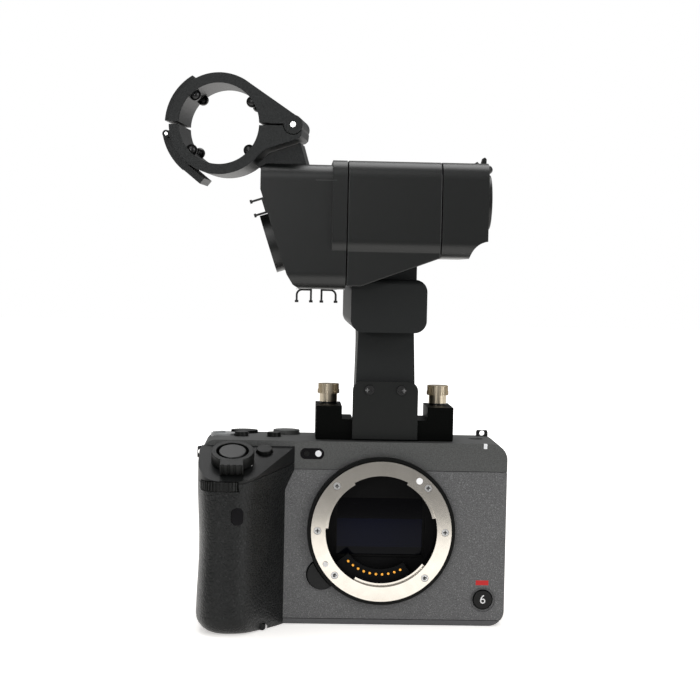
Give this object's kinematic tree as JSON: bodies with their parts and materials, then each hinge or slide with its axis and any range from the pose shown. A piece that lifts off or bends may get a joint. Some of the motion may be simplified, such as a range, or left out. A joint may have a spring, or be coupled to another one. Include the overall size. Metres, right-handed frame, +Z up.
{
  "type": "digital cinema camera",
  "caption": "Digital cinema camera body with an open lens mount, hand grip, top handle with an audio input box and a microphone clamp ring.",
  "frame": {"origin": "mouth of the tripod socket in the base, under the lens axis and on the sensor plane", "axes": "X to the viewer's right when facing the lens mount, Y away from the viewer so the lens looks along -Y, Z up"},
  "size_m": [0.1436, 0.131, 0.2243],
  "materials": {
    "front_panel": "fine sparkling texture",
    "top_panel": "satin with a fine texture",
    "charcoal_plastic": "fine texture",
    "magnesium": "satin",
    "grip_leather": "leather grain",
    "dark_plastic": "fine texture",
    "satin_black": "satin",
    "button_grey": "satin",
    "record_button": "satin",
    "front_button": "satin",
    "mount_steel": "fine turned",
    "collar_black": "matte",
    "small_steel": "bright",
    "gold": "gold plated",
    "sensor_frame": "matte",
    "sensor_glass": "coated glass over the imager",
    "window_glass": "gloss",
    "circuit_board": "satin",
    "inner_plastic": "matte",
    "socket_plastic": "satin",
    "screen_glass": "glossy",
    "shoe_steel": "satin",
    "nickel": "nickel plated",
    "clamp_metal": "satin",
    "pad_rubber": "smooth"
  },
  "bodies": {
    "camera": {"front_panel": "front_panel", "top_cover": "top_panel", "rear_cover": "charcoal_plastic", "base_plate": "charcoal_plastic", "chassis": "magnesium", "grip": "grip_leather", "grip_head": "dark_plastic", "mount_ring": "mount_steel", "mount_collar": "collar_black", "screws_and_pins": "small_steel", "light_chamber": "collar_black", "contact_pins": "gold", "sensor_frame": "sensor_frame", "image_sensor": "sensor_glass", "front_windows": "window_glass", "main_board": "circuit_board", "battery": "inner_plastic", "memory_cards": "inner_plastic", "side_sockets": "socket_plastic", "strap_lugs": "small_steel", "shoe_rail": "shoe_steel", "handle_base": "magnesium", "handle_cover": "dark_plastic", "handle_grip": "dark_plastic", "side_cover": "charcoal_plastic", "audio_box": "charcoal_plastic", "audio_end_cap": "charcoal_plastic", "input_sockets": "socket_plastic", "cable_clips": "socket_plastic", "mic_bracket": "clamp_metal", "mic_clamp_lower": "clamp_metal", "lower_pads": "pad_rubber"},
    "zoom_lever": {"zoom_lever": "dark_plastic"},
    "record_button": {"record_button": "record_button"},
    "front_dial": {"front_dial": "satin_black"},
    "deck_button": {"deck_button": "satin_black"},
    "iso_button": {"iso_button": "satin_black"},
    "white_balance_button": {"white_balance_button": "satin_black"},
    "mode_button": {"mode_button": "button_grey"},
    "thumb_dial": {"thumb_dial": "satin_black"},
    "power_switch": {"power_switch": "dark_plastic"},
    "lens_release_button": {"lens_release_button": "collar_black"},
    "lens_lock_pin": {"lens_lock_pin": "small_steel"},
    "front_record_button": {"front_record_button": "front_button"},
    "cooling_fan": {"cooling_fan": "inner_plastic"},
    "battery_door": {"battery_door": "dark_plastic"},
    "card_door": {"card_door": "dark_plastic"},
    "port_door": {"port_door": "dark_plastic"},
    "monitor": {"monitor_arm": "dark_plastic", "monitor_housing": "dark_plastic", "monitor_screen": "screen_glass"},
    "control_wheel": {"control_wheel": "satin_black"},
    "center_button": {"center_button": "satin_black"},
    "joystick": {"joystick": "satin_black"},
    "left_thumb_screw": {"left_thumb_screw": "nickel"},
    "right_thumb_screw": {"right_thumb_screw": "nickel"},
    "level_dial": {"level_dial": "charcoal_plastic"},
    "clamp_lid": {"mic_clamp_upper": "clamp_metal", "upper_pads": "pad_rubber"},
    "clamp_latch": {"clamp_latch": "clamp_metal"}
  },
  "joints": [
    {"name": "zoom_lever_turn", "type": "hinge", "parent": "camera", "child": "zoom_lever", "pos_m": [-0.0614, -0.02634, 0.06856], "axis": [0, -0.3907, 0.9205], "range_deg": [-22, 22], "stiffness_Nm_per_rad": 0.01},
    {"name": "record_button_press", "type": "slide", "parent": "camera", "child": "record_button", "axis": [0, 0.3907, -0.9205], "range_m": [0, 0.0006], "stiffness_N_per_m": 250},
    {"name": "front_dial_turn", "type": "hinge", "parent": "camera", "child": "front_dial", "pos_m": [-0.0641, -0.0336, 0.06], "axis": [0, 0, 1], "continuous": true},
    {"name": "deck_button_press", "type": "slide", "parent": "camera", "child": "deck_button", "axis": [0, 0.3907, -0.9205], "range_m": [0, 0.0006], "stiffness_N_per_m": 250},
    {"name": "iso_button_press", "type": "slide", "parent": "camera", "child": "iso_button", "axis": [0, 0, -1], "range_m": [0, 0.0006], "stiffness_N_per_m": 250},
    {"name": "white_balance_press", "type": "slide", "parent": "camera", "child": "white_balance_button", "axis": [0, 0, -1], "range_m": [0, 0.0006], "stiffness_N_per_m": 250},
    {"name": "mode_button_press", "type": "slide", "parent": "camera", "child": "mode_button", "axis": [0, 0, -1], "range_m": [0, 0.0006], "stiffness_N_per_m": 250},
    {"name": "thumb_dial_turn", "type": "hinge", "parent": "camera", "child": "thumb_dial", "pos_m": [-0.058, 0.02, 0.076], "axis": [0, 0, 1], "continuous": true},
    {"name": "power_switch_turn", "type": "hinge", "parent": "camera", "child": "power_switch", "pos_m": [-0.0665, 0.009, 0.076], "axis": [0, 0, 1], "range_deg": [0, 28]},
    {"name": "lens_release_press", "type": "slide", "parent": "camera", "child": "lens_release_button", "axis": [0, 1, 0], "range_m": [0, 0.0015], "stiffness_N_per_m": 200},
    {"name": "lens_lock_pull", "type": "slide", "parent": "camera", "child": "lens_lock_pin", "axis": [0, 1, 0], "range_m": [0, 0.0015]},
    {"name": "front_record_press", "type": "slide", "parent": "camera", "child": "front_record_button", "axis": [0, 1, 0], "range_m": [0, 0.0006], "stiffness_N_per_m": 250},
    {"name": "cooling_fan_spin", "type": "hinge", "parent": "camera", "child": "cooling_fan", "pos_m": [0.0265, 0.012, 0.034], "axis": [0, 1, 0], "continuous": true},
    {"name": "battery_door_hinge", "type": "hinge", "parent": "camera", "child": "battery_door", "pos_m": [-0.0483, 0, 0.0014], "axis": [0, -1, 0], "range_deg": [0, 100]},
    {"name": "card_door_hinge", "type": "hinge", "parent": "camera", "child": "card_door", "pos_m": [-0.07335, 0.02015, 0.034], "axis": [0, 0, -1], "range_deg": [0, 90]},
    {"name": "port_door_hinge", "type": "hinge", "parent": "camera", "child": "port_door", "pos_m": [0.05095, 0.01885, 0.031], "axis": [0, 0, 1], "range_deg": [0, 90]},
    {"name": "monitor_swing", "type": "hinge", "parent": "camera", "child": "monitor", "pos_m": [0.0462, 0.0342, 0.036], "axis": [0, 0, -1], "range_deg": [0, 160]},
    {"name": "control_wheel_turn", "type": "hinge", "parent": "camera", "child": "control_wheel", "pos_m": [-0.05, 0.029, 0.027], "axis": [0, 1, 0], "continuous": true},
    {"name": "center_button_press", "type": "slide", "parent": "camera", "child": "center_button", "axis": [0, -1, 0], "range_m": [0, 0.0006], "stiffness_N_per_m": 250},
    {"name": "joystick_press", "type": "slide", "parent": "camera", "child": "joystick", "axis": [0, -1, 0], "range_m": [0, 0.0006], "stiffness_N_per_m": 250},
    {"name": "left_thumb_screw_turn", "type": "hinge", "parent": "camera", "child": "left_thumb_screw", "pos_m": [-0.0223, 0.01, 0.092], "axis": [0, 0, 1], "continuous": true},
    {"name": "right_thumb_screw_turn", "type": "hinge", "parent": "camera", "child": "right_thumb_screw", "pos_m": [0.0243, 0.01, 0.092], "axis": [0, 0, 1], "continuous": true},
    {"name": "level_dial_turn", "type": "hinge", "parent": "camera", "child": "level_dial", "pos_m": [-0.04531, -0.018, 0.15777], "axis": [-0.9503, 0, -0.3112], "range_deg": [-135, 135]},
    {"name": "clamp_lid_hinge", "type": "hinge", "parent": "camera", "child": "clamp_lid", "pos_m": [-0.03946, -0.0351, 0.2041], "axis": [0.1045, 0.9945, 0], "range_deg": [0, 100]},
    {"name": "clamp_latch_hinge", "type": "hinge", "parent": "camera", "child": "clamp_latch", "pos_m": [-0.09048, -0.02974, 0.1999], "axis": [0.1045, 0.9945, 0], "range_deg": [0, 80]}
  ],
  "couplings": [
    {"joint": "lens_lock_pull", "follows": "lens_release_press", "ratio": 1}
  ]
}
